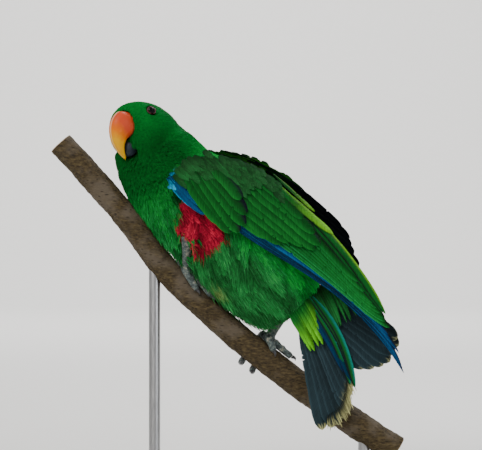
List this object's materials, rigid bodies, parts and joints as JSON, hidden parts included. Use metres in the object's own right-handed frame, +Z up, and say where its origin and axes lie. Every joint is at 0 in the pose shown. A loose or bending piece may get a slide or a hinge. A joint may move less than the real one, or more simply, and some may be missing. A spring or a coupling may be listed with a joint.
{
  "type": "eclectus parrot model",
  "caption": "Life-size still model of a green male eclectus parrot hunched on a cut length of branch, held by a flat display stand.",
  "frame": {"origin": "centre of the underside of the stand's base", "axes": "+Z up, the bird's head towards -X and its left side towards -Y"},
  "size_m": [0.3081, 0.15, 0.3378],
  "materials": {
    "body_plumage": "soft emerald green contour feathers, crimson on the flank",
    "wing_plumage": "green vanes with deep blue outer edges",
    "tail_plumage": "slate vanes with pale yellow tips",
    "beak_upper": "smooth coral red horn, orange-yellow to the tip",
    "beak_lower": "slate black horn",
    "eye": "wet dark iris and black pupil",
    "foot_skin": "grey scaly skin",
    "claw": "dark horn",
    "bark": "rough brown bark, bare wood at the cut ends",
    "stand_base": "satin warm white",
    "stand_rod": "brushed"
  },
  "bodies": {
    "root": {"head": "body_plumage", "neck": "body_plumage", "breast": "body_plumage", "belly": "body_plumage", "rump": "body_plumage", "thigh_left": "body_plumage", "thigh_right": "body_plumage", "wing_left": "wing_plumage", "wing_right": "wing_plumage", "tail": "tail_plumage", "undertail_coverts": "wing_plumage", "uppertail_coverts": "wing_plumage", "beak_upper": "beak_upper", "beak_lower": "beak_lower", "eye_left": "eye", "eye_right": "eye", "foot_left": "foot_skin", "toe_left_1": "foot_skin", "toe_left_2": "foot_skin", "toe_left_3": "foot_skin", "toe_left_4": "foot_skin", "claw_left_1": "claw", "claw_left_2": "claw", "claw_left_3": "claw", "claw_left_4": "claw", "foot_right": "foot_skin", "toe_right_1": "foot_skin", "toe_right_2": "foot_skin", "toe_right_3": "foot_skin", "toe_right_4": "foot_skin", "claw_right_1": "claw", "claw_right_2": "claw", "claw_right_3": "claw", "claw_right_4": "claw", "perch_branch": "bark", "stand_base": "stand_base", "stand_rod_front": "stand_rod", "stand_rod_rear": "stand_rod"}
  },
  "joints": []
}
